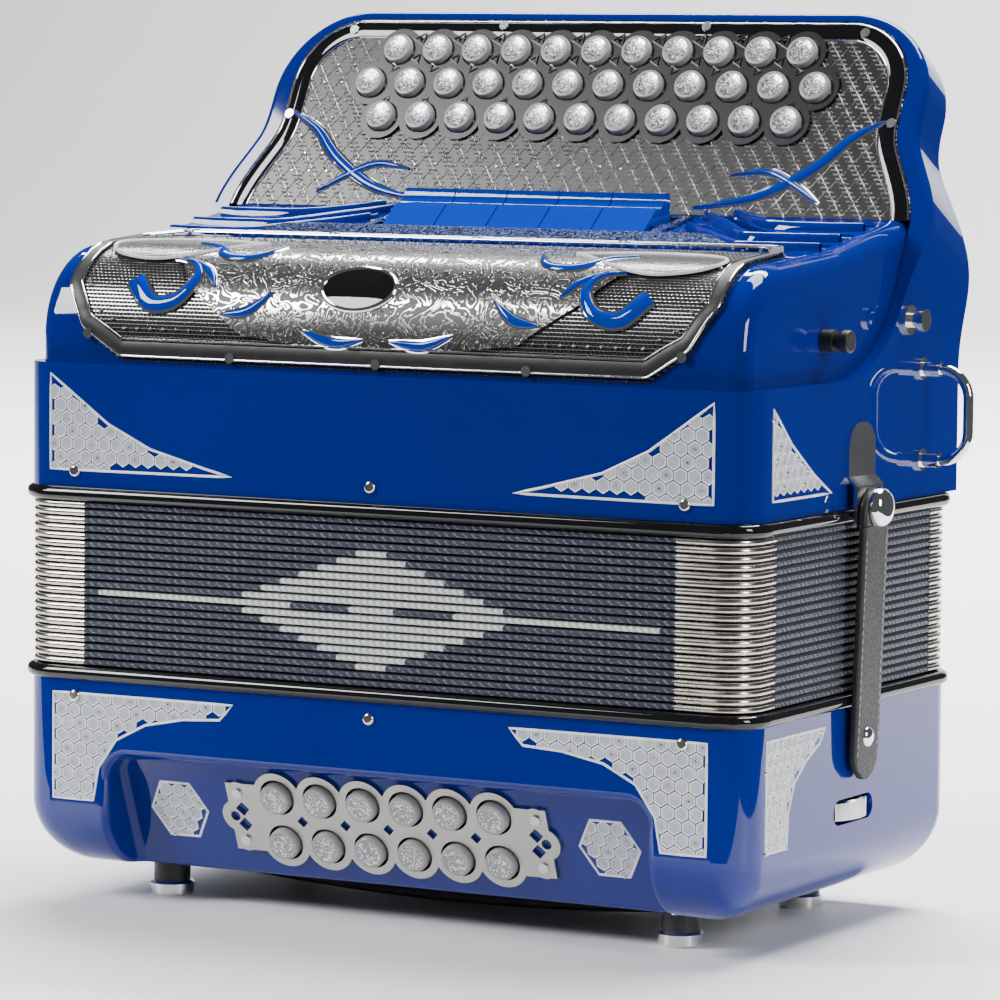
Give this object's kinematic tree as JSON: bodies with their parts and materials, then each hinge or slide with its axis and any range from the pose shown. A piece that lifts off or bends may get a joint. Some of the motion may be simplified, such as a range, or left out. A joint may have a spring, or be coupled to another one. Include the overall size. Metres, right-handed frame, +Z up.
{
  "type": "button accordion",
  "caption": "Button accordion standing on its feet: blue treble casing with slanted button keyboard, grille and register switches above folded bellows and a bass casing with its own buttons.",
  "frame": {"origin": "on the floor, under the middle of the whole object's bounding box", "axes": "+X along the casings, from the low-treble end to the end with the strap wheel; -Y is the front, with the grille and the bass buttons; +Z runs up from the bass side to the treble side"},
  "size_m": [0.3762, 0.2178, 0.3621],
  "materials": {
    "lacquer": "deep glossy blue lacquer over celluloid",
    "register_blue": "glossy blue moulded plastic",
    "bead_black": "gloss black lacquered wood",
    "black_plastic": "satin black",
    "nickel": "polished nickel plate",
    "wheel_metal": "knurled pale metal",
    "grille_black": "black plate with bright cut pattern",
    "button_pearl": "silver glitter plastic",
    "air_black": "satin black",
    "bellows_cloth": "dark patterned bellows cloth on card",
    "spruce": "bare light wood",
    "reed_metal": "bare metal",
    "lever_metal": "drawn metal with felted pallets",
    "cover_black": "satin black board",
    "leather": "black leather with pale stitching"
  },
  "bodies": {
    "bass_side": {"bass_casing": "lacquer", "feet_posts": "black_plastic", "feet_caps": "nickel", "bass_cover": "cover_black", "bass_button_plate": "nickel", "bass_pins_and_screws": "nickel", "bass_soundboard": "spruce", "bass_reed_blocks": "spruce", "bass_reed_plates": "reed_metal", "bass_bellows_frame": "bead_black", "bellows_folds": "bellows_cloth", "bellows_corner_clips": "nickel", "hand_strap": "leather", "hand_strap_fittings": "nickel"},
    "treble_side": {"treble_casing": "lacquer", "treble_hood": "lacquer", "grille_plate": "grille_black", "keyboard_frame": "lacquer", "keyboard_plate": "grille_black", "plate_screws": "nickel", "register_housing": "register_blue", "treble_bellows_frame": "bead_black", "treble_bellows_pins": "nickel", "treble_soundboard": "spruce", "treble_reed_blocks": "spruce", "treble_reed_plates": "reed_metal", "lever_axle": "lever_metal", "strap_buttons": "nickel", "strap_handles": "nickel", "strap_brackets": "nickel", "strap_top_ends": "leather"},
    "bass_button_01_body": {"bass_button_01": "button_pearl"},
    "bass_button_02_body": {"bass_button_02": "button_pearl"},
    "bass_button_03_body": {"bass_button_03": "button_pearl"},
    "bass_button_04_body": {"bass_button_04": "button_pearl"},
    "bass_button_05_body": {"bass_button_05": "button_pearl"},
    "bass_button_06_body": {"bass_button_06": "button_pearl"},
    "bass_button_07_body": {"bass_button_07": "button_pearl"},
    "bass_button_08_body": {"bass_button_08": "button_pearl"},
    "bass_button_09_body": {"bass_button_09": "button_pearl"},
    "bass_button_10_body": {"bass_button_10": "button_pearl"},
    "bass_button_11_body": {"bass_button_11": "button_pearl"},
    "bass_button_12_body": {"bass_button_12": "button_pearl"},
    "air_button_body": {"air_button": "air_black"},
    "air_valve_flap_body": {"air_valve_flap": "cover_black"},
    "strap_wheel_body": {"strap_wheel": "wheel_metal"},
    "button_row_1_body": {"button_row_1": "button_pearl"},
    "button_row_2_body": {"button_row_2": "button_pearl"},
    "button_row_3_body": {"button_row_3": "button_pearl"},
    "lever_row_1_body": {"lever_row_1": "lever_metal"},
    "lever_row_2_body": {"lever_row_2": "lever_metal"},
    "lever_row_3_body": {"lever_row_3": "lever_metal"},
    "register_switch_1_body": {"register_switch_1": "register_blue"},
    "register_switch_2_body": {"register_switch_2": "register_blue"},
    "register_switch_3_body": {"register_switch_3": "register_blue"},
    "register_switch_4_body": {"register_switch_4": "register_blue"},
    "register_switch_5_body": {"register_switch_5": "register_blue"},
    "tone_knob_body": {"tone_knob": "nickel"},
    "bellows_strap_right_body": {"bellows_strap_right": "leather"},
    "bellows_strap_left_body": {"bellows_strap_left": "leather"}
  },
  "joints": [
    {"name": "bellows_open", "type": "slide", "parent": "bass_side", "child": "treble_side", "axis": [0, 0, 1], "range_m": [0, 0.3], "deforming": ["bellows_folds", "bellows_corner_clips"]},
    {"name": "bass_press_01", "type": "slide", "parent": "bass_side", "child": "bass_button_01_body", "axis": [0, 0.9336, 0.3584], "range_m": [0, 0.003], "stiffness_N_per_m": 120, "springref_m": -0.004},
    {"name": "bass_press_02", "type": "slide", "parent": "bass_side", "child": "bass_button_02_body", "axis": [0, 0.9336, 0.3584], "range_m": [0, 0.003], "stiffness_N_per_m": 120, "springref_m": -0.004},
    {"name": "bass_press_03", "type": "slide", "parent": "bass_side", "child": "bass_button_03_body", "axis": [0, 0.9336, 0.3584], "range_m": [0, 0.003], "stiffness_N_per_m": 120, "springref_m": -0.004},
    {"name": "bass_press_04", "type": "slide", "parent": "bass_side", "child": "bass_button_04_body", "axis": [0, 0.9336, 0.3584], "range_m": [0, 0.003], "stiffness_N_per_m": 120, "springref_m": -0.004},
    {"name": "bass_press_05", "type": "slide", "parent": "bass_side", "child": "bass_button_05_body", "axis": [0, 0.9336, 0.3584], "range_m": [0, 0.003], "stiffness_N_per_m": 120, "springref_m": -0.004},
    {"name": "bass_press_06", "type": "slide", "parent": "bass_side", "child": "bass_button_06_body", "axis": [0, 0.9336, 0.3584], "range_m": [0, 0.003], "stiffness_N_per_m": 120, "springref_m": -0.004},
    {"name": "bass_press_07", "type": "slide", "parent": "bass_side", "child": "bass_button_07_body", "axis": [0, 0.9336, 0.3584], "range_m": [0, 0.003], "stiffness_N_per_m": 120, "springref_m": -0.004},
    {"name": "bass_press_08", "type": "slide", "parent": "bass_side", "child": "bass_button_08_body", "axis": [0, 0.9336, 0.3584], "range_m": [0, 0.003], "stiffness_N_per_m": 120, "springref_m": -0.004},
    {"name": "bass_press_09", "type": "slide", "parent": "bass_side", "child": "bass_button_09_body", "axis": [0, 0.9336, 0.3584], "range_m": [0, 0.003], "stiffness_N_per_m": 120, "springref_m": -0.004},
    {"name": "bass_press_10", "type": "slide", "parent": "bass_side", "child": "bass_button_10_body", "axis": [0, 0.9336, 0.3584], "range_m": [0, 0.003], "stiffness_N_per_m": 120, "springref_m": -0.004},
    {"name": "bass_press_11", "type": "slide", "parent": "bass_side", "child": "bass_button_11_body", "axis": [0, 0.9336, 0.3584], "range_m": [0, 0.003], "stiffness_N_per_m": 120, "springref_m": -0.004},
    {"name": "bass_press_12", "type": "slide", "parent": "bass_side", "child": "bass_button_12_body", "axis": [0, 0.9336, 0.3584], "range_m": [0, 0.003], "stiffness_N_per_m": 120, "springref_m": -0.004},
    {"name": "air_press", "type": "slide", "parent": "bass_side", "child": "air_button_body", "axis": [0, 0, 1], "range_m": [0, 0.004], "stiffness_N_per_m": 300, "springref_m": -0.004},
    {"name": "air_valve_lift", "type": "hinge", "parent": "bass_side", "child": "air_valve_flap_body", "pos_m": [0.056, 0.027, 0.0198], "axis": [0, -1, 0], "range_deg": [0, 7.26]},
    {"name": "strap_wheel_turn", "type": "hinge", "parent": "bass_side", "child": "strap_wheel_body", "pos_m": [0.142, -0.011, 0.0505], "axis": [0, 0, 1], "continuous": true},
    {"name": "button_row_1_press", "type": "slide", "parent": "treble_side", "child": "button_row_1_body", "axis": [0, 0.8851, -0.4655], "range_m": [0, 0.003], "stiffness_N_per_m": 600, "springref_m": -0.005},
    {"name": "button_row_2_press", "type": "slide", "parent": "treble_side", "child": "button_row_2_body", "axis": [0, 0.8851, -0.4655], "range_m": [0, 0.003], "stiffness_N_per_m": 600, "springref_m": -0.005},
    {"name": "button_row_3_press", "type": "slide", "parent": "treble_side", "child": "button_row_3_body", "axis": [0, 0.8851, -0.4655], "range_m": [0, 0.003], "stiffness_N_per_m": 600, "springref_m": -0.005},
    {"name": "lever_row_1_lift", "type": "hinge", "parent": "treble_side", "child": "lever_row_1_body", "pos_m": [0, 0.04815, 0.25967], "axis": [-1, 0, 0], "range_deg": [0, 1.94]},
    {"name": "lever_row_2_lift", "type": "hinge", "parent": "treble_side", "child": "lever_row_2_body", "pos_m": [0, 0.04815, 0.25967], "axis": [-1, 0, 0], "range_deg": [0, 2.34]},
    {"name": "lever_row_3_lift", "type": "hinge", "parent": "treble_side", "child": "lever_row_3_body", "pos_m": [0, 0.04815, 0.25967], "axis": [-1, 0, 0], "range_deg": [0, 2.96]},
    {"name": "register_rock_1", "type": "hinge", "parent": "treble_side", "child": "register_switch_1_body", "pos_m": [0, 0.0161, 0.26688], "axis": [-1, 0, 0], "range_deg": [0, 10]},
    {"name": "register_rock_2", "type": "hinge", "parent": "treble_side", "child": "register_switch_2_body", "pos_m": [0, 0.0161, 0.26688], "axis": [-1, 0, 0], "range_deg": [0, 10]},
    {"name": "register_rock_3", "type": "hinge", "parent": "treble_side", "child": "register_switch_3_body", "pos_m": [0, 0.0161, 0.26688], "axis": [-1, 0, 0], "range_deg": [0, 10]},
    {"name": "register_rock_4", "type": "hinge", "parent": "treble_side", "child": "register_switch_4_body", "pos_m": [0, 0.0161, 0.26688], "axis": [-1, 0, 0], "range_deg": [0, 10]},
    {"name": "register_rock_5", "type": "hinge", "parent": "treble_side", "child": "register_switch_5_body", "pos_m": [0, 0.0161, 0.26688], "axis": [-1, 0, 0], "range_deg": [0, 10]},
    {"name": "tone_knob_pull", "type": "slide", "parent": "treble_side", "child": "tone_knob_body", "axis": [1, 0, 0], "range_m": [0, 0.006]},
    {"name": "bellows_strap_right_swing", "type": "hinge", "parent": "treble_side", "child": "bellows_strap_right_body", "pos_m": [0.1733, -0.01, 0.15969], "axis": [0, -1, 0], "range_deg": [0, 95]},
    {"name": "bellows_strap_left_swing", "type": "hinge", "parent": "treble_side", "child": "bellows_strap_left_body", "pos_m": [-0.1733, -0.01, 0.15969], "axis": [0, 1, 0], "range_deg": [0, 95]}
  ],
  "couplings": [
    {"joint": "air_valve_lift", "follows": "air_press", "rad_per_m": 31.25},
    {"joint": "lever_row_1_lift", "follows": "button_row_1_press", "rad_per_m": 10.998},
    {"joint": "lever_row_2_lift", "follows": "button_row_2_press", "rad_per_m": 13.333},
    {"joint": "lever_row_3_lift", "follows": "button_row_3_press", "rad_per_m": 16.929}
  ]
}
